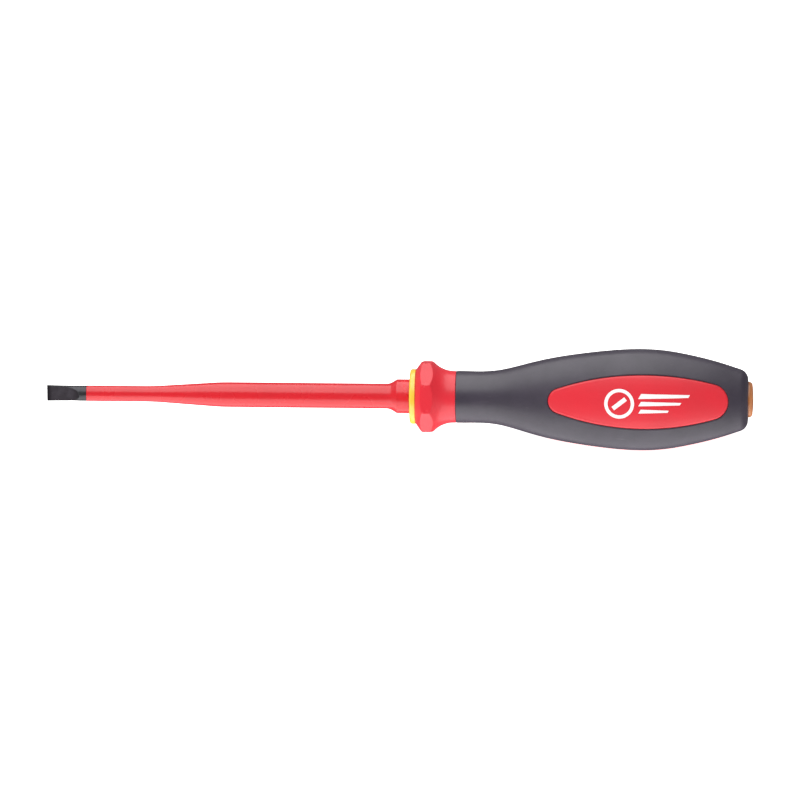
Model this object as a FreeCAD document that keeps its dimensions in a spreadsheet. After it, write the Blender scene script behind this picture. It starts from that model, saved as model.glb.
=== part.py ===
import FreeCAD, Part

import math
import os

import Sketcher

# An insulated slotted screwdriver, in millimetres.
# The blade's axis is +X, from the middle of the tip's end face (the origin) towards the butt.
# +Z is up, and one flat of the three-lobed handle faces -Z. Angles about the axis run from +Y to +Z.

SIZES = (
    # the steel blade
    ("tip_width", 5.5, "width of the tip at its end"),
    ("tip_thickness", 1.0, "thickness of the tip"),
    ("waist_width", 5.17, "width of the tip at its narrowest"),
    ("waist_place", 9.0, "from the tip's end to the narrowest place"),
    ("bare_width", 5.3, "diameter of the bare shank"),
    ("bare_start", 11.3, "from the tip's end to the full bare shank"),
    ("grind_start", 4.0, "length of the tip that has parallel faces"),
    ("grind_radius", 13.5, "radius of the hollow grind behind the parallel faces"),
    ("grind_top", 3.0, "height at which the grind has left the shank"),
    ("steel_slim_width", 4.0, "diameter of the steel in the slim stretch"),
    ("steel_width", 5.5, "diameter of the steel behind the slim stretch"),
    ("blade_end", 215.0, "end of the steel inside the handle"),
    ("blade_roll", 73.6, "turn of the tip's faces about the axis, from facing +Z"),
    ("wing_start", 152.0, "first pressed wing"),
    ("wing_length", 8.0, "length of a wing"),
    ("wing_span", 9.0, "span of a wing"),
    ("wing_thickness", 1.8, "thickness of a wing"),
    ("wing_pitch", 40.0, "from the first wing to the second"),
    # the two layers of insulation
    ("jacket_start", 13.6, "front edge of the red jacket"),
    ("under_start", 14.3, "front edge of the under-layer"),
    ("slim_end", 36.8, "end of the slim stretch"),
    ("taper_end", 60.3, "end of the taper"),
    ("under_slim_width", 4.56, "diameter of the under-layer in the slim stretch"),
    ("under_width", 6.7, "diameter of the under-layer behind the taper"),
    ("slim_width", 5.4, "diameter of the jacket in the slim stretch"),
    ("shaft_width", 8.6, "diameter of the jacket behind the taper"),
    ("cone_start", 118.1, "start of the cone before the collar"),
    ("collar_start", 120.7, "start of the collar"),
    ("collar_width", 11.7, "diameter of the collar"),
    ("jacket_end", 148.0, "end of the insulation inside the handle"),
    ("jacket_edge", 0.2, "rounding of the jacket's front edge"),
    ("taper_blend", 3.0, "how far each end of the taper is blended, to each side"),
    ("cone_blend", 3.0, "radius at the foot of the cone"),
    ("collar_edge", 0.35, "rounding of the collar's edges"),
    # the yellow ring
    ("ring_start", 125.2, "front face of the ring, against the collar"),
    ("ring_end", 127.2, "rear face of the ring"),
    ("ring_width", 18.9, "outer diameter of the ring"),
    ("ring_front_edge", 0.9, "rounding of the ring's front edge"),
    ("ring_rear_edge", 0.25, "rounding of the ring's rear edge"),
    ("spigot_width", 14.0, "diameter of the ring's spigot in the bolster"),
    ("spigot_end", 132.0, "end of the ring's spigot"),
    # the bolster
    ("face_width", 18.6, "diameter of the bolster's front face"),
    ("crest_start", 129.8, "start of the crest"),
    ("crest_end", 132.2, "end of the crest"),
    ("crest_width", 26.0, "diameter of the crest where the flats leave it"),
    ("flats_width", 23.8, "across the eight flats"),
    ("flats_roll", -7.5, "turn that sets one flat in line with a handle flat"),
    ("flare_start", 133.7, "start of the hollow flare"),
    ("flare_width", 23.2, "diameter at the start of the flare"),
    ("flare_radius", 9.6, "radius of the hollow flare"),
    ("neck_start", 140.6, "start of the neck"),
    ("neck_width", 17.84, "diameter of the neck"),
    ("sleeve_width", 14.4, "diameter of the bolster's sleeve under the grip"),
    ("sleeve_end", 147.0, "end of the sleeve"),
    ("bolster_edge", 0.45, "rounding of the bolster's flats"),
    # the handle
    ("grip_start", 141.1, "front edge of the grip"),
    ("grip_end", 241.5, "rear face of the grip"),
    ("grip_wall", 3.0, "thickness of the grip over the core"),
    ("grip_corner", 3.8, "rounding of the grip's rear edge"),
    ("seam_edge", 0.25, "rounding of the edges that meet at the front seam"),
    ("nose_width", 12.4, "diameter of the core's nose in the bolster"),
    ("core_end", 238.5, "rear face of the core"),
    # the oval panels and their windows
    ("panel_front", 173.0, "front end of a panel"),
    ("panel_middle", 206.0, "widest place of a panel"),
    ("panel_rear", 234.8, "rear end of a panel"),
    ("panel_width", 18.44, "widest width of a panel"),
    ("panel_side_radius", 92.0, "radius of a panel's sides"),
    ("panel_proud", 0.03, "how far a panel stands out of the grip's form"),
    ("panel_edge", 0.8, "rounding of a panel's rim"),
    ("window_edge", 0.4, "rounding of the grip round a panel"),
    ("window_inner", 6.0, "from the axis to the foot of a window's cut"),
    ("window_outer", 22.0, "from the axis to the top of a window's cut"),
    # the end cap
    ("cap_width", 12.3, "diameter of the cap"),
    ("cap_rim", 242.8, "where the cap's dome begins"),
    ("cap_end", 243.3, "top of the cap's dome"),
    ("cap_edge", 1.2, "rounding of the cap's rim"),
    ("stem_width", 9.0, "diameter of the cap's stem in the core"),
    ("stem_start", 228.0, "front end of the stem"),
    ("mark_floor", 242.8, "floor of the mark sunk in the cap"),
    ("mark_width", 7.4, "diameter of the mark's ring"),
    ("mark_line", 0.6, "width of the mark's ring"),
    ("mark_bar_length", 4.6, "length of the mark's bar"),
    ("mark_bar_width", 1.0, "width of the mark's bar"),
)

# Sections of the handle's outside: place along the axis, mean radius, lobe depth over mean radius.
SECTIONS = (
    (141.1, 8.92, 0.000),
    (146.0, 8.92, 0.000),
    (151.0, 8.95, 0.005),
    (156.0, 9.49, 0.020),
    (162.5, 11.05, 0.045),
    (170.5, 13.18, 0.062),
    (179.0, 14.88, 0.072),
    (189.0, 16.30, 0.078),
    (198.0, 17.18, 0.080),
    (206.0, 17.42, 0.080),
    (212.5, 17.02, 0.080),
    (219.0, 16.00, 0.078),
    (227.0, 14.23, 0.076),
    (235.0, 11.92, 0.076),
    (241.5, 9.82, 0.076),
)
SECTION_STEPS = 36
LOBES = 3
LOBE_ANGLE = 90.0

# The flats of the handle that carry the panels: node name and angle of the flat's outward normal.
PANELS = (("panel_left", 150.0), ("panel_right", 30.0), ("panel_under", 270.0))

BOLSTER_FLATS = 8

# The reach of a tool that only has to clear the part, and how far a cut or a joined blank overruns.
CLEAR = 30.0
OVERRUN = 1.0

# Places closer together than this count as one.
TOLERANCE = 1e-3

doc = FreeCAD.newDocument("insulated_screwdriver")
sheet = doc.addObject("Spreadsheet::Sheet", "Sizes")


def fill_sheet():
    """Put every driving size in the sheet, with its meaning beside it."""
    for row, (alias, value, meaning) in enumerate(SIZES, start=1):
        sheet.set(f"A{row}", meaning)
        sheet.set(f"B{row}", str(value))
        sheet.setAlias(f"B{row}", alias)
    doc.recompute()


def size(alias):
    """The value of one cell of the sheet."""
    return float(sheet.get(alias))


def new_body(name):
    """An empty PartDesign body with its own label."""
    body = doc.addObject("PartDesign::Body", name)
    body.Label = name
    return body


def new_sketch(body, name, role, offset=None):
    """A sketch on one of the body's own origin planes, moved along its normal if asked."""
    sketch = body.newObject("Sketcher::SketchObject", name)
    plane = [feature for feature in body.Origin.OriginFeatures if feature.Role == role][0]
    sketch.AttachmentSupport = [(plane, "")]
    sketch.MapMode = "FlatFace"
    if offset:
        sketch.setExpression("AttachmentOffset.Base.z", offset)
    doc.recompute()
    return sketch


def bind(sketch, kind, first, second, expression):
    """Hold point second at a distance from point first, bound to the sheet."""
    value = sketch.evalExpression(expression)
    if value < 0:
        first, second = second, first
        expression = f"-({expression})"
    index = sketch.addConstraint(Sketcher.Constraint(kind, *first, *second, abs(value)))
    sketch.setExpression(f"Constraints[{index}]", expression)


def hold_corner(sketch, corner, along, across):
    """Fix a corner of an outline by its two coordinates; "0" puts it on that axis."""
    origin = (-1, 1)
    if along == "0":
        sketch.addConstraint(Sketcher.Constraint("PointOnObject", *corner, -2))
    else:
        bind(sketch, "DistanceX", origin, corner, along)
    if across == "0":
        sketch.addConstraint(Sketcher.Constraint("PointOnObject", *corner, -1))
    else:
        bind(sketch, "DistanceY", origin, corner, across)


def arc_between(start, end, radius, turn):
    """The short arc from start to end; its centre is on the left where turn is 1, else on the right."""
    chord = end - start
    middle = start + chord * 0.5
    left = FreeCAD.Vector(-chord.y, chord.x, 0).normalize() * turn
    rise = math.sqrt(radius**2 - (chord.Length / 2) ** 2)
    centre = middle + left * rise
    top = centre - left * radius
    return Part.Arc(start, top, end)


def draw_outline(sketch, corners):
    """Draw a closed outline in a sketch and bind it to the sheet.

    A corner is (along, across). Where the edge that leaves it is an arc, it is
    (along, across, radius, turn), and arc_between says what turn means.
    """
    places = []
    for corner in corners:
        along = sketch.evalExpression(corner[0])
        across = sketch.evalExpression(corner[1])
        places.append(FreeCAD.Vector(along, across, 0))
    edges = []
    for number, corner in enumerate(corners):
        start = places[number]
        end = places[(number + 1) % len(places)]
        if len(corner) == 2:
            edge = sketch.addGeometry(Part.LineSegment(start, end), False)
        else:
            radius = sketch.evalExpression(corner[2])
            edge = sketch.addGeometry(arc_between(start, end, radius, corner[3]), False)
        starts_first = sketch.getPoint(edge, 1).distanceToPoint(start) < TOLERANCE
        edges.append((edge, 1, 2) if starts_first else (edge, 2, 1))
    for number, corner in enumerate(corners):
        edge, first, last = edges[number]
        following, following_first, _ = edges[(number + 1) % len(edges)]
        sketch.addConstraint(Sketcher.Constraint("Coincident", edge, last, following, following_first))
        hold_corner(sketch, (edge, first), corner[0], corner[1])
        if len(corner) > 2:
            radius = sketch.evalExpression(corner[2])
            index = sketch.addConstraint(Sketcher.Constraint("Radius", edge, radius))
            sketch.setExpression(f"Constraints[{index}]", corner[2])


def draw_circle(sketch, diameter):
    """A circle about the sketch's origin, bound to the sheet."""
    radius = sketch.evalExpression(diameter) / 2
    centre = FreeCAD.Vector(0, 0, 0)
    circle = sketch.addGeometry(Part.Circle(centre, FreeCAD.Vector(0, 0, 1), radius), False)
    sketch.addConstraint(Sketcher.Constraint("Coincident", circle, 3, -1, 1))
    index = sketch.addConstraint(Sketcher.Constraint("Diameter", circle, 2 * radius))
    sketch.setExpression(f"Constraints[{index}]", diameter)


def turned(body, corners):
    """Turn an outline of (place along the axis, radius) corners about the axis."""
    sketch = new_sketch(body, body.Label + "_outline", "XY_Plane")
    draw_outline(sketch, corners)
    turning = body.newObject("PartDesign::Revolution", body.Label + "_turning")
    turning.Profile = sketch
    turning.ReferenceAxis = (sketch, ["H_Axis"])
    turning.Angle = 360
    doc.recompute()
    return turning


def round_rims(body, base, name, rims, radius):
    """Round the circular edges of base that lie at the given (place, radius) pairs."""
    chosen = []
    for number, edge in enumerate(base.Shape.Edges, start=1):
        if edge.Degenerated or not isinstance(edge.Curve, Part.Circle):
            continue
        for place, rim_radius in rims:
            at_place = abs(edge.Curve.Center.x - place) < TOLERANCE
            if at_place and abs(edge.Curve.Radius - rim_radius) < TOLERANCE:
                chosen.append(f"Edge{number}")
    if len(chosen) != len(rims):
        raise RuntimeError(f"{name}: {len(chosen)} rims found, {len(rims)} wanted")
    rounding = body.newObject("PartDesign::Fillet", name)
    rounding.Base = (base, chosen)
    rounding.setExpression("Radius", radius)
    doc.recompute()
    return rounding


def check_removed(feature, before):
    """Stop if a cutting feature has cut nothing."""
    doc.recompute()
    if feature.Shape.Volume >= before - TOLERANCE:
        raise RuntimeError(f"{feature.Label} removes nothing")


def boolean(kind, name, base, tool):
    """A Part::Cut or Part::Common of two objects."""
    result = doc.addObject(kind, name)
    result.Base = base
    result.Tool = tool
    doc.recompute()
    return result


def fused(name, shapes):
    """One object made of several."""
    result = doc.addObject("Part::MultiFuse", name)
    result.Shapes = shapes
    doc.recompute()
    return result


def round_edges(name, base, chosen, radius):
    """Round the edges of base whose numbers are chosen, by a radius from the sheet."""
    rounding = doc.addObject("Part::Fillet", name)
    rounding.Base = base
    rounding.Edges = [(number, size(radius), size(radius)) for number in chosen]
    doc.recompute()
    return rounding


def make_blade():
    """The steel bar: turned, hollow ground to a slotted tip, with two pressed wings in the handle."""
    body = new_body("blade")
    turning = turned(
        body,
        [
            ("0", "0"),
            ("0", "Sizes.tip_width / 2"),
            ("Sizes.waist_place", "Sizes.waist_width / 2"),
            ("Sizes.bare_start", "Sizes.bare_width / 2"),
            ("Sizes.jacket_start", "Sizes.bare_width / 2"),
            ("Sizes.jacket_start", "Sizes.steel_slim_width / 2"),
            ("Sizes.slim_end", "Sizes.steel_slim_width / 2"),
            ("Sizes.taper_end", "Sizes.steel_width / 2"),
            ("Sizes.blade_end", "Sizes.steel_width / 2"),
            ("Sizes.blade_end", "0"),
        ],
    )
    rise = "(Sizes.grind_top - Sizes.tip_thickness / 2)"
    run = f"sqrt(2 * Sizes.grind_radius * {rise} - {rise} ^ 2)"
    grind_end = f"Sizes.grind_start + {run}"
    sketch = new_sketch(body, "blade_grind_outline", "XZ_Plane")
    for side, turn in (("", 1), ("-", -1)):
        draw_outline(
            sketch,
            [
                (f"-{OVERRUN}", f"{side}Sizes.tip_thickness / 2"),
                ("Sizes.grind_start", f"{side}Sizes.tip_thickness / 2", "Sizes.grind_radius", turn),
                (grind_end, f"{side}Sizes.grind_top"),
                (f"-{OVERRUN}", f"{side}Sizes.grind_top"),
            ],
        )
    grind = body.newObject("PartDesign::Pocket", "blade_grind")
    grind.Profile = sketch
    grind.SideType = "Symmetric"
    grind.Length = CLEAR
    check_removed(grind, turning.Shape.Volume)

    wing_outline = new_sketch(body, "blade_wing_outline", "XY_Plane")
    wing_end = "Sizes.wing_start + Sizes.wing_length"
    draw_outline(
        wing_outline,
        [
            ("Sizes.wing_start", "-Sizes.wing_span / 2"),
            (wing_end, "-Sizes.wing_span / 2"),
            (wing_end, "Sizes.wing_span / 2"),
            ("Sizes.wing_start", "Sizes.wing_span / 2"),
        ],
    )
    wing = body.newObject("PartDesign::Pad", "blade_wing")
    wing.Profile = wing_outline
    wing.SideType = "Symmetric"
    wing.setExpression("Length", "Sizes.wing_thickness")
    doc.recompute()
    wings = body.newObject("PartDesign::LinearPattern", "blade_wings")
    wings.Originals = [wing]
    wings.Direction = (wing_outline, ["H_Axis"])
    wings.setExpression("Length", "Sizes.wing_pitch")
    wings.Occurrences = 2
    body.Tip = wings
    body.Placement = FreeCAD.Placement(FreeCAD.Vector(0, 0, 0), FreeCAD.Vector(1, 0, 0), 1)
    body.setExpression("Placement.Rotation.Angle", "Sizes.blade_roll")
    doc.recompute()
    return body


def make_inner_insulation():
    """The contrast-coloured under-layer, moulded on the steel and closed in by the jacket."""
    body = new_body("inner_insulation")
    turned(
        body,
        [
            ("Sizes.under_start", "Sizes.steel_slim_width / 2"),
            ("Sizes.under_start", "Sizes.under_slim_width / 2"),
            ("Sizes.slim_end", "Sizes.under_slim_width / 2"),
            ("Sizes.taper_end", "Sizes.under_width / 2"),
            ("Sizes.jacket_end", "Sizes.under_width / 2"),
            ("Sizes.jacket_end", "Sizes.steel_width / 2"),
            ("Sizes.taper_end", "Sizes.steel_width / 2"),
            ("Sizes.slim_end", "Sizes.steel_slim_width / 2"),
        ],
    )
    return body


def make_outer_insulation():
    """The red jacket: slim in front, tapering up to the shaft, with a collar before the handle."""
    body = new_body("outer_insulation")
    slope = "((Sizes.shaft_width - Sizes.slim_width) / 2 / (Sizes.taper_end - Sizes.slim_end))"
    blend_radius = f"2 * Sizes.taper_blend / {slope}"
    blend_rise = f"Sizes.taper_blend * {slope}"
    turning = turned(
        body,
        [
            ("Sizes.jacket_start", "Sizes.steel_slim_width / 2"),
            ("Sizes.jacket_start", "Sizes.slim_width / 2"),
            ("Sizes.slim_end - Sizes.taper_blend", "Sizes.slim_width / 2", blend_radius, 1),
            ("Sizes.slim_end + Sizes.taper_blend", f"Sizes.slim_width / 2 + {blend_rise}"),
            (
                "Sizes.taper_end - Sizes.taper_blend",
                f"Sizes.shaft_width / 2 - {blend_rise}",
                blend_radius,
                -1,
            ),
            ("Sizes.taper_end + Sizes.taper_blend", "Sizes.shaft_width / 2"),
            ("Sizes.cone_start", "Sizes.shaft_width / 2"),
            ("Sizes.collar_start", "Sizes.collar_width / 2"),
            ("Sizes.ring_start", "Sizes.collar_width / 2"),
            ("Sizes.ring_start", "Sizes.shaft_width / 2"),
            ("Sizes.jacket_end", "Sizes.shaft_width / 2"),
            ("Sizes.jacket_end", "Sizes.under_width / 2"),
            ("Sizes.taper_end", "Sizes.under_width / 2"),
            ("Sizes.slim_end", "Sizes.under_slim_width / 2"),
            ("Sizes.under_start", "Sizes.under_slim_width / 2"),
            ("Sizes.under_start", "Sizes.steel_slim_width / 2"),
        ],
    )
    slim = size("slim_width") / 2
    shaft = size("shaft_width") / 2
    collar = size("collar_width") / 2
    collar_rims = [(size("collar_start"), collar), (size("ring_start"), collar)]
    front = round_rims(body, turning, "jacket_front", [(size("jacket_start"), slim)], "Sizes.jacket_edge")
    cone = round_rims(body, front, "cone_foot", [(size("cone_start"), shaft)], "Sizes.cone_blend")
    round_rims(body, cone, "collar_rims", collar_rims, "Sizes.collar_edge")
    return body


def make_front_ring():
    """The yellow ring behind the collar, with a spigot that the bolster is moulded round."""
    body = new_body("front_ring")
    turning = turned(
        body,
        [
            ("Sizes.ring_start", "Sizes.shaft_width / 2"),
            ("Sizes.ring_start", "Sizes.ring_width / 2"),
            ("Sizes.ring_end", "Sizes.ring_width / 2"),
            ("Sizes.ring_end", "Sizes.spigot_width / 2"),
            ("Sizes.spigot_end", "Sizes.spigot_width / 2"),
            ("Sizes.spigot_end", "Sizes.shaft_width / 2"),
        ],
    )
    outside = size("ring_width") / 2
    front = round_rims(
        body, turning, "ring_front_rim", [(size("ring_start"), outside)], "Sizes.ring_front_edge"
    )
    round_rims(body, front, "ring_rear_rim", [(size("ring_end"), outside)], "Sizes.ring_rear_edge")
    return body


def make_bolster():
    """The red nose of the handle: turned, with eight flats on its crest and a flare to the neck."""
    body = new_body("bolster_turned")
    turning = turned(
        body,
        [
            ("Sizes.ring_end", "Sizes.spigot_width / 2"),
            ("Sizes.ring_end", "Sizes.face_width / 2"),
            ("Sizes.crest_start", "Sizes.crest_width / 2"),
            ("Sizes.crest_end", "Sizes.crest_width / 2"),
            ("Sizes.flare_start", "Sizes.flare_width / 2", "Sizes.flare_radius", 1),
            ("Sizes.neck_start", "Sizes.neck_width / 2"),
            ("Sizes.grip_start", "Sizes.neck_width / 2"),
            ("Sizes.grip_start", "Sizes.sleeve_width / 2"),
            ("Sizes.sleeve_end", "Sizes.sleeve_width / 2"),
            ("Sizes.sleeve_end", "Sizes.nose_width / 2"),
            ("Sizes.spigot_end", "Sizes.nose_width / 2"),
            ("Sizes.spigot_end", "Sizes.spigot_width / 2"),
        ],
    )
    neck = [(size("grip_start"), size("neck_width") / 2)]
    round_rims(body, turning, "neck_rear_rim", neck, "Sizes.seam_edge")
    flats = doc.addObject("Part::Prism", "bolster_flats")
    flats.Polygon = BOLSTER_FLATS
    flats.setExpression("Circumradius", f"Sizes.flats_width / 2 / cos({180 / BOLSTER_FLATS} deg)")
    flats.setExpression("Height", "Sizes.sleeve_end")
    along_axis = FreeCAD.Rotation(FreeCAD.Vector(0, 1, 0), 90)
    roll = FreeCAD.Rotation(FreeCAD.Vector(1, 0, 0), size("flats_roll"))
    flats.Placement = FreeCAD.Placement(FreeCAD.Vector(0, 0, 0), roll * along_axis)
    doc.recompute()
    trimmed = boolean("Part::Common", "bolster_trimmed", body, flats)

    crest = size("flats_width") / 2 - TOLERANCE
    rims = []
    for number, edge in enumerate(trimmed.Shape.Edges, start=1):
        middle = edge.valueAt((edge.FirstParameter + edge.LastParameter) / 2)
        if math.hypot(middle.y, middle.z) > crest:
            rims.append(number)
    bolster = round_edges("bolster", trimmed, rims, "bolster_edge")
    bolster.Label = "bolster"
    return bolster


def lobed_section(place, mean_radius, lobe_depth):
    """A closed section of constant width.

    Its tangent in the direction of an angle lies at mean_radius + lobe_depth * cos(3 * angle) from
    the axis, with the angle counted from a lobe.
    """
    points = []
    for step in range(SECTION_STEPS):
        turn = 2 * math.pi * step / SECTION_STEPS
        reach = mean_radius + lobe_depth * math.cos(LOBES * turn)
        slope = -LOBES * lobe_depth * math.sin(LOBES * turn)
        angle = turn + math.radians(LOBE_ANGLE)
        across = reach * math.cos(angle) - slope * math.sin(angle)
        up = reach * math.sin(angle) + slope * math.cos(angle)
        points.append(FreeCAD.Vector(place, across, up))
    curve = Part.BSplineCurve()
    curve.interpolate(Points=points, PeriodicFlag=True)
    return Part.Wire([curve.toShape()])


def make_form(name, offset):
    """The three-lobed form of the handle, offset from the grip's outside. It is a skin through sections."""
    wires = []
    for place, mean_radius, lobe_ratio in SECTIONS:
        wires.append(lobed_section(place, mean_radius + offset, mean_radius * lobe_ratio))
    form = doc.addObject("Part::Feature", name)
    form.Shape = Part.makeLoft(wires, True, False)
    doc.recompute()
    return form


def make_cylinder(name, start, end, diameter):
    """A cylinder about the axis, from one place to another, bound to the sheet."""
    cylinder = doc.addObject("Part::Cylinder", name)
    cylinder.setExpression("Radius", f"({diameter}) / 2")
    cylinder.setExpression("Height", f"{end} - {start}")
    cylinder.Placement = FreeCAD.Placement(
        FreeCAD.Vector(0, 0, 0), FreeCAD.Rotation(FreeCAD.Vector(0, 1, 0), 90)
    )
    cylinder.setExpression("Placement.Base.x", start)
    doc.recompute()
    return cylinder


def make_core_blank():
    """The handle's core without its bores."""
    form = make_form("core_form", -size("grip_wall"))
    span = make_cylinder("core_span", "Sizes.sleeve_end", "Sizes.core_end", str(2 * CLEAR))
    trunk = boolean("Part::Common", "core_trunk", form, span)
    nose_end = f"Sizes.sleeve_end + {OVERRUN}"
    nose = make_cylinder("core_nose", "Sizes.spigot_end", nose_end, "Sizes.nose_width")
    return fused("core_blank", [trunk, nose])


def make_end_cap():
    """The plug in the butt: a domed head with a sunk slotted-screw mark, on a stem."""
    body = new_body("end_cap")
    dome_radius = (
        "((Sizes.cap_width / 2) ^ 2 + (Sizes.cap_end - Sizes.cap_rim) ^ 2)"
        " / (2 * (Sizes.cap_end - Sizes.cap_rim))"
    )
    turning = turned(
        body,
        [
            ("Sizes.stem_start", "0"),
            ("Sizes.cap_end", "0", dome_radius, 1),
            ("Sizes.cap_rim", "Sizes.cap_width / 2"),
            ("Sizes.core_end", "Sizes.cap_width / 2"),
            ("Sizes.core_end", "Sizes.stem_width / 2"),
            ("Sizes.stem_start", "Sizes.stem_width / 2"),
        ],
    )
    rim = [(size("cap_rim"), size("cap_width") / 2)]
    rounded = round_rims(body, turning, "cap_rounded_rim", rim, "Sizes.cap_edge")
    sketch = new_sketch(body, "mark_outline", "YZ_Plane", "Sizes.cap_end")
    draw_circle(sketch, "Sizes.mark_width")
    draw_circle(sketch, "Sizes.mark_width - 2 * Sizes.mark_line")
    draw_outline(
        sketch,
        [
            ("-Sizes.mark_bar_length / 2", "-Sizes.mark_bar_width / 2"),
            ("Sizes.mark_bar_length / 2", "-Sizes.mark_bar_width / 2"),
            ("Sizes.mark_bar_length / 2", "Sizes.mark_bar_width / 2"),
            ("-Sizes.mark_bar_length / 2", "Sizes.mark_bar_width / 2"),
        ],
    )
    mark = body.newObject("PartDesign::Pocket", "mark")
    mark.Profile = sketch
    mark.setExpression("Length", "Sizes.cap_end - Sizes.mark_floor")
    check_removed(mark, rounded.Shape.Volume)
    return body


def make_window(name, angle):
    """The oval prism that a panel fills, pointing along the normal of its flat."""
    body = new_body(name)
    sketch = new_sketch(body, name + "_outline", "XY_Plane", "Sizes.window_inner")
    half = "Sizes.panel_width / 2"
    side = "Sizes.panel_side_radius"
    ends = {}
    for end in ("front", "rear"):
        reach = f"abs(Sizes.panel_{end} - Sizes.panel_middle)"
        depth = f"({side} - {half})"
        # radius of the end arc that touches both sides, and where it touches them
        radius = f"(({side} ^ 2 - {depth} ^ 2 - {reach} ^ 2) / (2 * ({side} - {reach})))"
        share = f"({side} / ({side} - {radius}))"
        sign = "-" if end == "front" else "+"
        touch = f"Sizes.panel_middle {sign} {share} * ({reach} - {radius})"
        height = f"({share} * {depth} - {depth})"
        ends[end] = (radius, touch, height)
    front_radius, front_touch, front_height = ends["front"]
    rear_radius, rear_touch, rear_height = ends["rear"]
    draw_outline(
        sketch,
        [
            (front_touch, f"-{front_height}", side, 1),
            (rear_touch, f"-{rear_height}", rear_radius, 1),
            ("Sizes.panel_rear", "0", rear_radius, 1),
            (rear_touch, rear_height, side, 1),
            (front_touch, front_height, front_radius, 1),
            ("Sizes.panel_front", "0", front_radius, 1),
        ],
    )
    prism = body.newObject("PartDesign::Pad", name + "_prism")
    prism.Profile = sketch
    prism.setExpression("Length", "Sizes.window_outer - Sizes.window_inner")
    body.Placement = FreeCAD.Placement(
        FreeCAD.Vector(0, 0, 0), FreeCAD.Rotation(FreeCAD.Vector(1, 0, 0), angle - 90)
    )
    doc.recompute()
    return body


def edge_numbers(shape, edges):
    """The numbers, counted from 1, of some of a shape's edges."""
    numbers = []
    for number, edge in enumerate(shape.Edges, start=1):
        if any(edge.isSame(wanted) for wanted in edges):
            numbers.append(number)
    return numbers


def edges_at(shape, place):
    """The numbers of the edges that lie in the plane square to the axis at a place."""
    numbers = []
    for number, edge in enumerate(shape.Edges, start=1):
        box = edge.BoundBox
        if abs(box.XMin - place) < TOLERANCE and abs(box.XMax - place) < TOLERANCE:
            numbers.append(number)
    return numbers


def make_panels(core_blank, windows):
    """The oval panels: each fills its window and stands a little proud of the grip."""
    form = make_form("panel_form", size("panel_proud"))
    panels = []
    for (name, angle), window in zip(PANELS, windows):
        normal = FreeCAD.Vector(0, math.cos(math.radians(angle)), math.sin(math.radians(angle)))
        slab = boolean("Part::Common", name + "_slab", window, form)
        block = boolean("Part::Cut", name + "_block", slab, core_blank)
        outside = max(block.Shape.Faces, key=lambda face: face.CenterOfMass.dot(normal))
        rim = edge_numbers(block.Shape, outside.Edges)
        panel = round_edges(name, block, rim, "panel_edge")
        panel.Label = name
        panels.append(panel)
    return panels


def make_grip(core_blank, bolster, end_cap, windows):
    """The soft overmould round the core, open at its windows and at the cap."""
    form = make_form("grip_form", 0.0)
    rear = edges_at(form.Shape, size("grip_end"))
    blunt = round_edges("grip_blunt", form, rear, "grip_corner")
    front = edges_at(blunt.Shape, size("grip_start"))
    rounded = round_edges("grip_rounded", blunt, front, "seam_edge")
    inside = fused("grip_inside", [core_blank, bolster, end_cap] + windows)
    block = boolean("Part::Cut", "grip_block", rounded, inside)
    outside = max(block.Shape.Faces, key=lambda face: face.Area)
    rims = []
    for wire in outside.Wires:
        if not wire.isSame(outside.OuterWire):
            rims.extend(wire.Edges)
    grip = round_edges("grip", block, edge_numbers(block.Shape, rims), "window_edge")
    grip.Label = "grip"
    return grip


def make_handle_core(core_blank, tools):
    """The hard core: the blank with the blade, the insulation, the ring and the cap taken out."""
    inside = fused("core_inside", tools)
    core = boolean("Part::Cut", "handle_core", core_blank, inside)
    core.Label = "handle_core"
    return core


def check_document():
    """Stop if any object of the document failed."""
    for item in doc.Objects:
        if "Invalid" in item.State or "Error" in item.State:
            raise RuntimeError(f"{item.Label}: {item.State}")


def write_nodes(nodes):
    """Check each sub-part and write it to its own file."""
    os.makedirs("parts", exist_ok=True)
    for node in nodes:
        shape = node.Shape
        if shape.isNull() or not shape.isValid():
            raise RuntimeError(f"{node.Label} has no valid shape")
        box = shape.optimalBoundingBox()
        print(
            f"{node.Label}: {len(shape.Solids)} solid, {shape.Volume:.1f} mm3,"
            f" X {box.XMin:.2f}..{box.XMax:.2f}, Z {box.ZMin:.2f}..{box.ZMax:.2f}"
        )
        shape.exportStep(f"parts/{node.Label}.step")


def main():
    """Build every sub-part and write it out."""
    fill_sheet()
    blade = make_blade()
    inner_insulation = make_inner_insulation()
    outer_insulation = make_outer_insulation()
    front_ring = make_front_ring()
    bolster = make_bolster()
    end_cap = make_end_cap()
    core_blank = make_core_blank()
    windows = [make_window(name + "_window", angle) for name, angle in PANELS]
    panels = make_panels(core_blank, windows)
    grip = make_grip(core_blank, bolster, end_cap, windows)
    handle_core = make_handle_core(core_blank, [blade, inner_insulation, outer_insulation, end_cap])
    check_document()
    write_nodes(
        [blade, inner_insulation, outer_insulation, front_ring, bolster, handle_core, grip]
        + panels
        + [end_cap]
    )


main()
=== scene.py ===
import math

import bpy
from mathutils import Matrix, Vector
from mathutils.bvhtree import BVHTree


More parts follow.
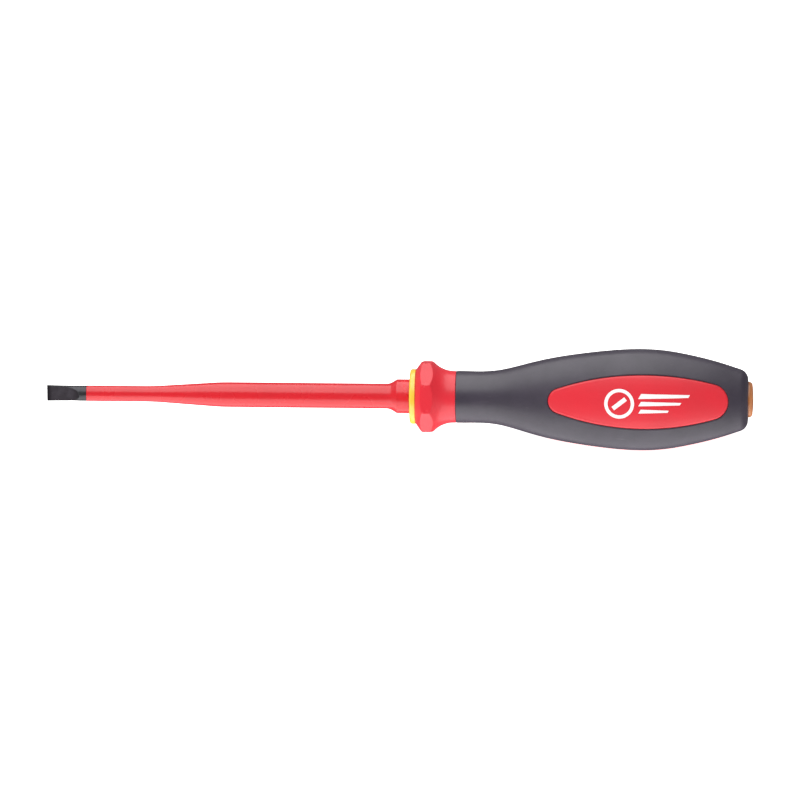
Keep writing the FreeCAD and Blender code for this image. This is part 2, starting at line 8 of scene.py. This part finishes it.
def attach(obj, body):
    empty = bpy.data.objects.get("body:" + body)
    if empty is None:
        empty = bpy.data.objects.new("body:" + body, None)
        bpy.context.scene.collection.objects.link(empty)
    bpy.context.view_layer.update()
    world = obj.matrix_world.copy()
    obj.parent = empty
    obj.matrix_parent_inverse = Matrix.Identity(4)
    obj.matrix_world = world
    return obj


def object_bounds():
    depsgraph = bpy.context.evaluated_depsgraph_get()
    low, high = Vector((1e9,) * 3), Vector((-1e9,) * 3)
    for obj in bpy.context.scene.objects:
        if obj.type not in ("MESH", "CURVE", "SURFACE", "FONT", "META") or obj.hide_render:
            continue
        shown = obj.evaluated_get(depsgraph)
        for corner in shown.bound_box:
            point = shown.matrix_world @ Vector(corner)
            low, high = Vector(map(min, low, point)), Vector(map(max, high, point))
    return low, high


# The looks of the insulated screwdriver. Everything is in metres, in the part's own frame:
# +X runs from the tip to the butt, +Z is up, and angles about the axis run from +Y to +Z.

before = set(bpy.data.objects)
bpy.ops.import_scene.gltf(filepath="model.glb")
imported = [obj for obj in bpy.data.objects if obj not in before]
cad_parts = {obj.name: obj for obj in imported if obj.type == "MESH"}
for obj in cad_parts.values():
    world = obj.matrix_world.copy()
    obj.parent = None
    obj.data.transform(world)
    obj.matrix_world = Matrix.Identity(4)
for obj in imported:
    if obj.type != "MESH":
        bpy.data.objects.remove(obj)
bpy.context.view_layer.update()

MM = 0.001
MICRON = 0.000001
WHITE = (1.0, 1.0, 1.0, 1.0)

JACKET_RED = (0.65, 0.011, 0.020)
HANDLE_RED = (0.73, 0.019, 0.035)
PALE_RED = (0.90, 0.16, 0.17)
BLACK_RUBBER = (0.026, 0.019, 0.034)
GREY_RUBBER = (0.038, 0.029, 0.047)
DUSTY_RUBBER = (0.085, 0.075, 0.098)
SCUFFED_RUBBER = (0.16, 0.15, 0.16)
# The next two colours darken corners and grooves: painted shade, with some grime.
SHADE_AND_GRIME = (0.010, 0.008, 0.008)
AMBER_SHADE_AND_GRIME = (0.10, 0.035, 0.008)
# The ground tone below is darker than the turned one: painted shade on the tip's ground faces.
GROUND_STEEL_SHADED = ((0.048, 0.041, 0.049), (0.066, 0.058, 0.069))
TURNED_STEEL = ((0.066, 0.065, 0.072), (0.086, 0.086, 0.092))
STEEL_MARKS = (0.030, 0.027, 0.031)
# The steel's end colour is painted shade: a dark band at the tip's end.
STEEL_END_SHADE = (0.009, 0.007, 0.009)
CONTRAST_YELLOW = ((0.95, 0.68, 0.05), (0.86, 0.55, 0.03))
RING_YELLOW = ((1.0, 0.62, 0.060), (1.0, 0.55, 0.042))
CORE_AMBER = ((0.88, 0.56, 0.10), (0.78, 0.45, 0.06))
# The cap's darker, browner amber is partly painted shade on the butt.
CAP_AMBER_SHADED = ((0.53, 0.20, 0.072), (0.45, 0.165, 0.058))
INK_WHITE = (0.93, 0.92, 0.91)
THIN_INK = (0.90, 0.62, 0.62)

# Distances from the axis: the steel inside the first is ground, and the red beyond the others is worn.
GROUND_RADIUS = 2.46 * MM
JACKET_WORN = 5.72 * MM
CREST_WORN = 12.30 * MM
UNWORN = 1.0


# ---------------------------------------------------------------- materials

class Graph:
    """The nodes of one material, with a short way to add each kind that is used here."""

    def __init__(self, name):
        self.material = bpy.data.materials.new(name)
        self.material.use_nodes = True
        self.tree = self.material.node_tree
        self.shader = self.tree.nodes["Principled BSDF"]
        self.place = self.add("ShaderNodeTexCoord").outputs["Object"]

    def add(self, kind, **settings):
        node = self.tree.nodes.new(kind)
        for key, value in settings.items():
            setattr(node, key, value)
        return node

    def feed(self, socket, value):
        """Link a socket to another node's output, or set its value."""
        if isinstance(value, bpy.types.NodeSocket):
            self.tree.links.new(value, socket)
        elif isinstance(value, tuple) and len(value) == 3 and socket.type == "RGBA":
            socket.default_value = (*value, 1.0)
        else:
            socket.default_value = value

    def stretched(self, scale):
        """The place, scaled per axis: a smaller number draws a pattern out along that axis."""
        node = self.add("ShaderNodeMapping")
        self.feed(node.inputs["Vector"], self.place)
        self.feed(node.inputs["Scale"], scale)
        return node.outputs["Vector"]

    def noise(self, size, detail=3.0, roughness=0.5, vector=None):
        """Noise from 0 to 1 whose features are about size metres across."""
        node = self.add("ShaderNodeTexNoise")
        self.feed(node.inputs["Vector"], vector or self.place)
        self.feed(node.inputs["Scale"], 1.0 / size)
        self.feed(node.inputs["Detail"], detail)
        self.feed(node.inputs["Roughness"], roughness)
        return node.outputs["Fac"]

    def cells(self, size):
        """Distance to the nearest of many scattered points, size metres apart."""
        node = self.add("ShaderNodeTexVoronoi")
        self.feed(node.inputs["Vector"], self.place)
        self.feed(node.inputs["Scale"], 1.0 / size)
        return node.outputs["Distance"]

    def span(self, value, low, high, to_low=0.0, to_high=1.0):
        """The value carried smoothly from the range low..high to the range to_low..to_high."""
        node = self.add("ShaderNodeMapRange", interpolation_type="SMOOTHSTEP")
        for socket, given in zip(("Value", "From Min", "From Max", "To Min", "To Max"),
                                 (value, low, high, to_low, to_high)):
            self.feed(node.inputs[socket], given)
        return node.outputs["Result"]

    def calc(self, operation, first, second=0.0):
        node = self.add("ShaderNodeMath", operation=operation)
        self.feed(node.inputs[0], first)
        self.feed(node.inputs[1], second)
        return node.outputs[0]

    def along(self):
        """The place along the screwdriver's axis."""
        node = self.add("ShaderNodeSeparateXYZ")
        self.feed(node.inputs[0], self.place)
        return node.outputs["X"]

    def from_axis(self):
        """The distance from the screwdriver's axis."""
        node = self.add("ShaderNodeVectorMath", operation="LENGTH")
        self.feed(node.inputs[0], self.stretched((0.0, 1.0, 1.0)))
        return node.outputs["Value"]

    def mix(self, share, first, second):
        """Colour first where share is 0, second where it is 1."""
        node = self.add("ShaderNodeMix", data_type="RGBA")
        self.feed(node.inputs[0], share)
        self.feed(node.inputs[6], first)
        self.feed(node.inputs[7], second)
        return node.outputs[2]

    def crevice_shade(self, reach):
        """1 in corners and grooves narrower than reach, 0 in the open; colour darkened by it is painted
        shade.
        """
        node = self.add("ShaderNodeAmbientOcclusion", samples=8)
        self.feed(node.inputs["Distance"], reach)
        return self.span(node.outputs["AO"], 0.35, 0.85, 1.0, 0.0)

    def bump(self, height, depth, under=None):
        """Relief of depth metres from a height of 0 to 1, laid on the relief under it."""
        node = self.add("ShaderNodeBump")
        self.feed(node.inputs["Height"], height)
        self.feed(node.inputs["Strength"], 1.0)
        self.feed(node.inputs["Distance"], depth)
        if under:
            self.feed(node.inputs["Normal"], under)
        return node.outputs["Normal"]

    def finish(self, colour, roughness, normal, **constants):
        """Connect the shader; what is the same all over is set on the shader itself."""
        self.feed(self.shader.inputs["Base Color"], colour)
        self.feed(self.shader.inputs["Roughness"], roughness)
        self.feed(self.shader.inputs["Normal"], normal)
        for name, value in constants.items():
            self.feed(self.shader.inputs[name.replace("_", " ")], value)
        return self.material


def gloss_red(name, red, roughness, worn_radius):
    """Glossy moulded red, with orange peel, clouded gloss and fine lengthwise scuffs.

    It is rubbed paler in places beyond worn_radius from the axis.
    """
    g = Graph(name)
    clouds = g.span(g.noise(9 * MM), 0.35, 0.68)
    speckle = g.noise(0.5 * MM, 2.0)
    scuffs = g.span(g.noise(1.0, 5.0, 0.7, g.stretched((130.0, 2600.0, 2600.0))), 0.54, 0.74)
    scuffs = g.calc("MULTIPLY", scuffs, g.span(g.noise(14 * MM, 2.0), 0.42, 0.72))
    proud = g.span(g.from_axis(), worn_radius, worn_radius + 0.5 * MM)
    rubbed = g.calc("MULTIPLY", proud, g.span(g.noise(1.6 * MM, 4.0, 0.65), 0.50, 0.64))
    deep = tuple(0.72 * share for share in red)
    colour = g.mix(g.calc("MULTIPLY", clouds, 0.16), red, deep)
    colour = g.mix(g.calc("MULTIPLY", speckle, 0.06), colour, PALE_RED)
    colour = g.mix(g.calc("MULTIPLY", scuffs, 0.10), colour, PALE_RED)
    colour = g.mix(g.calc("MULTIPLY", rubbed, 0.30), colour, PALE_RED)
    # Painted shade, with some grime: darker in corners and grooves.
    colour = g.mix(g.calc("MULTIPLY", g.crevice_shade(0.7 * MM), 0.25), colour, SHADE_AND_GRIME)
    gloss = g.calc("ADD", roughness, g.calc("MULTIPLY", clouds, 0.05))
    gloss = g.calc("ADD", gloss, g.calc("MULTIPLY", scuffs, 0.10))
    gloss = g.calc("ADD", gloss, g.calc("MULTIPLY", rubbed, 0.18))
    relief = g.bump(g.noise(1.3 * MM, 2.0), 5 * MICRON)
    relief = g.bump(speckle, 1.2 * MICRON, relief)
    relief = g.bump(scuffs, -1.0 * MICRON, relief)
    return g.finish(colour, gloss, relief, IOR=1.50, Coat_Weight=0.15, Coat_Roughness=0.16)


def rubber():
    """Soft dark grip rubber: a fine even grain, faint flow clouds and a slightly uneven polish."""
    g = Graph("grip_rubber")
    clouds = g.noise(11 * MM, 4.0, 0.6)
    grain = g.cells(0.34 * MM)
    fine = g.noise(0.16 * MM, 2.0)
    polish = g.span(g.noise(17 * MM, 3.0), 0.40, 0.66)
    marks = g.span(g.noise(1.0, 4.0, 0.6, g.stretched((110.0, 900.0, 900.0))), 0.62, 0.74)
    marks = g.calc("MULTIPLY", marks, g.span(g.noise(9 * MM, 2.0), 0.50, 0.66))
    colour = g.mix(g.span(clouds, 0.30, 0.72), BLACK_RUBBER, GREY_RUBBER)
    colour = g.mix(g.calc("MULTIPLY", fine, 0.12), colour, DUSTY_RUBBER)
    colour = g.mix(g.calc("MULTIPLY", marks, 0.22), colour, SCUFFED_RUBBER)
    # Painted shade, with some grime: darker in corners and grooves.
    colour = g.mix(g.calc("MULTIPLY", g.crevice_shade(1.0 * MM), 0.15), colour, SHADE_AND_GRIME)
    gloss = g.span(polish, 0.0, 1.0, 0.43, 0.38)
    gloss = g.calc("ADD", gloss, g.calc("MULTIPLY", grain, 0.08))
    relief = g.bump(grain, 9 * MICRON)
    relief = g.bump(fine, 4 * MICRON, relief)
    relief = g.bump(clouds, 25 * MICRON, relief)
    return g.finish(colour, gloss, relief, IOR=1.62)


def burnished_steel():
    """Black-burnished steel with fine marks across it, darker on the ground tip and at its end, both by
    painted shade.
    """
    g = Graph("blade_steel")
    across = g.noise(1.0, 5.0, 0.7, g.stretched((5200.0, 160.0, 160.0)))
    coarse = g.noise(1.0, 3.0, 0.6, g.stretched((1500.0, 90.0, 90.0)))
    clouds = g.noise(2.6 * MM, 3.0, 0.5)
    # Painted shade: the steel darkens over the last two millimetres of the tip.
    end_shade = g.span(g.along(), 0.10 * MM, 2.20 * MM, 0.80, 0.0)
    turned = g.span(g.from_axis(), GROUND_RADIUS, GROUND_RADIUS + 0.10 * MM)
    # Painted shade: the ground faces take a darker tone than the turned shank.
    shaded_ground_tone = g.mix(g.span(clouds, 0.30, 0.72), *GROUND_STEEL_SHADED)
    turned_tone = g.mix(g.span(clouds, 0.30, 0.72), *TURNED_STEEL)
    colour = g.mix(turned, shaded_ground_tone, turned_tone)
    colour = g.mix(g.calc("MULTIPLY", across, 0.25), colour, STEEL_MARKS)
    colour = g.mix(end_shade, colour, STEEL_END_SHADE)
    gloss = g.span(across, 0.30, 0.70, 0.40, 0.54)
    relief = g.bump(across, 3 * MICRON)
    relief = g.bump(coarse, 5 * MICRON, relief)
    return g.finish(colour, gloss, relief, Metallic=1.0)


def bright_plastic(name, tones, roughness, clear=0.0, coat=0.0):
    """Light-coloured moulding, such as the ring and the cap, a little clouded, with painted shade and
    some soil in corners.
    """
    g = Graph(name)
    clouds = g.noise(3.2 * MM, 3.0)
    speckle = g.noise(0.4 * MM, 2.0)
    colour = g.mix(g.span(clouds, 0.32, 0.70), *tones)
    # Painted shade, with some soil: much darker in corners and grooves.
    colour = g.mix(g.calc("MULTIPLY", g.crevice_shade(0.8 * MM), 0.70), colour, AMBER_SHADE_AND_GRIME)
    gloss = g.calc("ADD", roughness, g.calc("MULTIPLY", speckle, 0.12))
    relief = g.bump(g.noise(1.0 * MM, 2.0), 4 * MICRON)
    relief = g.bump(speckle, 1.5 * MICRON, relief)
    return g.finish(
        colour, gloss, relief,
        IOR=1.55, Coat_Weight=coat, Coat_Roughness=0.18,
        Subsurface_Weight=clear, Subsurface_Radius=(1.0, 0.5, 0.2), Subsurface_Scale=1.2 * MM,
    )


def print_ink():
    """White pad-printed ink: nearly even, thin in places, with a faint grain."""
    g = Graph("print_ink")
    thin = g.span(g.noise(0.7 * MM, 4.0, 0.65), 0.60, 0.78)
    grain = g.noise(0.2 * MM, 2.0)
    colour = g.mix(g.calc("MULTIPLY", thin, 0.35), INK_WHITE, THIN_INK)
    gloss = g.span(grain, 0.3, 0.7, 0.38, 0.52)
    return g.finish(colour, gloss, g.bump(grain, 2 * MICRON), IOR=1.5)


def dress(node, material):
    """Give a CAD node its material."""
    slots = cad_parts[node].data.materials
    slots.clear()
    slots.append(material)


dress("blade", burnished_steel())
dress("inner_insulation", bright_plastic("contrast_layer", CONTRAST_YELLOW, 0.42))
dress("outer_insulation", gloss_red("jacket_red", JACKET_RED, 0.26, JACKET_WORN))
dress("front_ring", bright_plastic("ring_yellow", RING_YELLOW, 0.26, coat=0.6))
dress("bolster", gloss_red("bolster_red", HANDLE_RED, 0.35, CREST_WORN))
dress("handle_core", bright_plastic("core_amber", CORE_AMBER, 0.40))
dress("grip", rubber())
for panel in ("panel_left", "panel_right", "panel_under"):
    dress(panel, gloss_red(panel + "_red", HANDLE_RED, 0.40, UNWORN))
# The cap's darker colour is partly painted shade.
dress("end_cap", bright_plastic("cap_amber", CAP_AMBER_SHADED, 0.26, clear=0.25))


# ---------------------------------------------------------------- the printed mark

PANEL_NORMAL = math.radians(150.0)
OUTWARD = Vector((0.0, math.cos(PANEL_NORMAL), math.sin(PANEL_NORMAL)))
SIDEWAYS = Vector((0.0, math.sin(PANEL_NORMAL), -math.cos(PANEL_NORMAL)))
INK_LIFT = 0.045 * MM
INK_SINK = 0.030 * MM
CAST_FROM = 40 * MM
MARK_CENTRE = Vector((197.6, -0.5)) * MM
RING_RADIUS = 4.55 * MM
RING_LINE = 1.15 * MM
SLOT_TILT = math.radians(38.0)
SLOT_REACH = 2.75 * MM
SLOT_WIDTH = 1.5 * MM
STRIPE_START = 204.6 * MM
STRIPE_SLANT = 0.6
STRIPE_TAPER = 0.55

# The stripes: distance to the side of the mark's centre, end along the axis and width at the start.
STRIPES = (
    (2.6 * MM, 221.5 * MM, 1.75 * MM),
    (0.0, 218.6 * MM, 1.55 * MM),
    (-2.6 * MM, 214.4 * MM, 1.35 * MM),
)


class Skin:
    """The outside of a CAD node, as something that can be drawn on."""

    def __init__(self, node):
        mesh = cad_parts[node].data
        corners = [vertex.co for vertex in mesh.vertices]
        faces = [tuple(polygon.vertices) for polygon in mesh.polygons]
        self.tree = BVHTree.FromPolygons(corners, faces)

    def point(self, along, side, lift):
        """The place on the skin at a distance along the axis and to the side, moved out by lift."""
        start = Vector((along, 0.0, 0.0)) + SIDEWAYS * side + OUTWARD * CAST_FROM
        hit = self.tree.ray_cast(start, -OUTWARD)[0]
        return hit + OUTWARD * lift


def patch(skin, rows, closed, vertices, faces):
    """Add a thin plate of ink to a mesh, with a top, a bottom and walls.

    rows is a grid of (along, side) places; closed joins the last row to the first.
    """
    count, width = len(rows), len(rows[0])
    top = len(vertices)
    for lift in (INK_LIFT, -INK_SINK):
        for row in rows:
            vertices.extend(skin.point(along, side, lift) for along, side in row)
    bottom = top + count * width

    def number(base, row, column):
        return base + (row % count) * width + column

    spans = count if closed else count - 1
    for row in range(spans):
        for column in range(width - 1):
            quad = [(row, column), (row + 1, column), (row + 1, column + 1), (row, column + 1)]
            faces.append([number(top, *corner) for corner in quad])
            faces.append([number(bottom, *corner) for corner in reversed(quad)])
        for column, forward in ((0, False), (width - 1, True)):
            wall = [number(top, row, column), number(top, row + 1, column),
                    number(bottom, row + 1, column), number(bottom, row, column)]
            faces.append(wall if not forward else wall[::-1])
    if not closed:
        for row, forward in ((0, True), (count - 1, False)):
            for column in range(width - 1):
                wall = [number(top, row, column), number(top, row, column + 1),
                        number(bottom, row, column + 1), number(bottom, row, column)]
                faces.append(wall if not forward else wall[::-1])


def ring_rows(centre, radius, line, steps=72, columns=4):
    """A ring of the given middle radius and line width."""
    rows = []
    for step in range(steps):
        angle = -2 * math.pi * step / steps
        row = []
        for column in range(columns):
            reach = radius + line * (column / (columns - 1) - 0.5)
            row.append((centre[0] + reach * math.cos(angle), centre[1] + reach * math.sin(angle)))
        rows.append(row)
    return rows


def bar_rows(start, end, start_width, end_width, slant, steps=28, columns=5):
    """A straight bar that narrows from start to end, with its ends cut at a slant."""
    axis = Vector(end) - Vector(start)
    across = Vector((-axis.y, axis.x)).normalized()
    along = axis.normalized()
    rows = []
    for step in range(steps + 1):
        share = step / steps
        width = start_width + (end_width - start_width) * share
        row = []
        for column in range(columns):
            side = width * (0.5 - column / (columns - 1))
            row.append(tuple(Vector(start) + axis * share + across * side + along * side * slant))
        rows.append(row)
    return rows


def printed_mark():
    """A generic mark on the visible panel: a slotted screw's head and three plain stripes."""
    skin = Skin("panel_left")
    vertices, faces = [], []
    patch(skin, ring_rows(MARK_CENTRE, RING_RADIUS, RING_LINE), True, vertices, faces)
    reach = Vector((math.cos(SLOT_TILT), math.sin(SLOT_TILT))) * SLOT_REACH
    slot = bar_rows(MARK_CENTRE - reach, MARK_CENTRE + reach, SLOT_WIDTH, SLOT_WIDTH, 0.0)
    patch(skin, slot, False, vertices, faces)
    for side, end, width in STRIPES:
        start = (STRIPE_START, MARK_CENTRE.y + side)
        finish = (end, MARK_CENTRE.y + side)
        stripe = bar_rows(start, finish, width, STRIPE_TAPER * width, STRIPE_SLANT)
        patch(skin, stripe, False, vertices, faces)
    mesh = bpy.data.meshes.new("printed_mark")
    mesh.from_pydata([tuple(vertex) for vertex in vertices], [], faces)
    mesh.validate()
    mesh.update()
    mesh.materials.append(print_ink())
    mark = bpy.data.objects.new("printed_mark", mesh)
    bpy.context.scene.collection.objects.link(mark)
    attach(mark, "root")


printed_mark()


# ---------------------------------------------------------------- camera

AIM = Vector((121.7, 0.0, 0.0)) * MM
AZIMUTH = math.radians(3.5)
ELEVATION = math.radians(35.0)
ROLL = math.radians(-1.455)
LENS = 500.0
SENSOR = 36.0
VIEW_WIDTH = 275.2 * MM
LOWER = 1.3 * MM


def make_camera():
    """A long lens, a little towards the butt's side and above, so the tool lies across the picture."""
    back = Vector((
        math.sin(AZIMUTH) * math.cos(ELEVATION),
        -math.cos(AZIMUTH) * math.cos(ELEVATION),
        math.sin(ELEVATION),
    ))
    level = Vector((math.cos(AZIMUTH), math.sin(AZIMUTH), 0.0))
    upright = back.cross(level)
    right = level * math.cos(ROLL) + upright * math.sin(ROLL)
    up = back.cross(right)
    data = bpy.data.cameras.new("camera")
    data.lens = LENS
    data.sensor_width = SENSOR
    data.clip_start = 0.01
    data.clip_end = 50.0
    camera = bpy.data.objects.new("camera", data)
    bpy.context.scene.collection.objects.link(camera)
    distance = VIEW_WIDTH * LENS / SENSOR
    turn = Matrix((right, up, back)).transposed().to_4x4()
    camera.matrix_world = Matrix.Translation(AIM - up * LOWER + back * distance) @ turn
    bpy.context.scene.camera = camera


make_camera()


# ---------------------------------------------------------------- floor and light

FLOOR_HALF = 3.0
FLOOR_TONES = ((0.86, 0.86, 0.86), (0.90, 0.90, 0.90))
FLOOR_GLOW = 1.0
WORLD_STRENGTH = 0.17

# The softboxes: name, place, the point that it faces, size, and power in watts.
SOFTBOXES = (
    ("overhead", (-0.10, 0.39, 0.75), (-0.10, 0.39, 0.0), (1.3, 1.62), 16.2),
    ("underneath", (-0.05, -0.347, -0.36), (-0.05, 0.0, 0.0), (1.3, 0.885), 7.5),
)


def make_floor():
    """A plain pale sheet, lit from below as on a light table, so the shadow stays faint.

    It is left out of reflections, so that the tool's outline mirrors the dim world and stays dark
    against the white, and it lets the light of the softbox underneath through.
    """
    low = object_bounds()[0].z
    g = Graph("floor_white")
    tone = g.noise(0.25, 3.0)
    colour = g.mix(g.span(tone, 0.3, 0.7), *FLOOR_TONES)
    relief = g.bump(g.noise(0.9 * MM, 2.0), 8 * MICRON)
    g.finish(colour, 0.7, relief, Emission_Color=WHITE, Emission_Strength=FLOOR_GLOW)
    mesh = bpy.data.meshes.new("floor")
    corners = [(-1, -1), (1, -1), (1, 1), (-1, 1)]
    mesh.from_pydata([(x * FLOOR_HALF, y * FLOOR_HALF, low) for x, y in corners], [], [(0, 1, 2, 3)])
    mesh.materials.append(g.material)
    floor = bpy.data.objects.new("floor", mesh)
    floor.visible_glossy = False
    floor.visible_shadow = False
    bpy.context.scene.collection.objects.link(floor)


def softbox(name, place, aim, size, power):
    """A rectangular area light at a place, facing a point."""
    data = bpy.data.lights.new(name, "AREA")
    data.shape = "RECTANGLE"
    data.size, data.size_y = size
    data.energy = power
    lamp = bpy.data.objects.new(name, data)
    bpy.context.scene.collection.objects.link(lamp)
    lamp.location = place
    lamp.rotation_euler = (Vector(place) - Vector(aim)).to_track_quat("Z", "Y").to_euler()


def make_light():
    """The softboxes, and a dim world that keeps what faces the camera dark."""
    for box in SOFTBOXES:
        softbox(*box)
    world = bpy.data.worlds.new("studio")
    world.use_nodes = True
    background = world.node_tree.nodes["Background"]
    background.inputs["Color"].default_value = WHITE
    background.inputs["Strength"].default_value = WORLD_STRENGTH
    bpy.context.scene.world = world
    bpy.context.scene.view_settings.view_transform = "Standard"


make_floor()
make_light()
